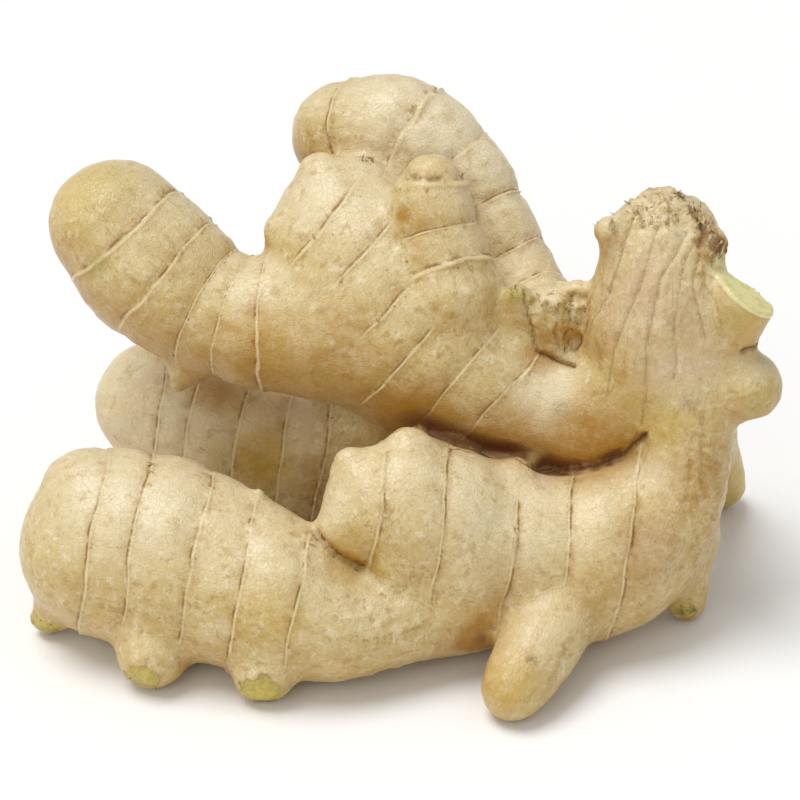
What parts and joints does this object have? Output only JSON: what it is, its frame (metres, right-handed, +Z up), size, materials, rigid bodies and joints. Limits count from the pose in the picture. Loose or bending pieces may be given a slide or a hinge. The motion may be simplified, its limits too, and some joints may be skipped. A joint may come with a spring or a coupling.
{
  "type": "ginger root",
  "caption": "Whole hand of fresh ginger with stubby ringed fingers, round knobs and a cut shoot, lying on its low points.",
  "frame": {"origin": "middle of the footprint's bounding box, on the table", "axes": "+Z up, +X from the thick rounded lobe towards the crowned hump with the cut shoot, +Y from the front arm towards the hidden back"},
  "size_m": [0.166, 0.1214, 0.1044],
  "materials": {
    "ginger_skin": "papery pale straw skin with a soft sheen"
  },
  "bodies": {
    "root": {"ginger_root": "ginger_skin"}
  },
  "joints": []
}
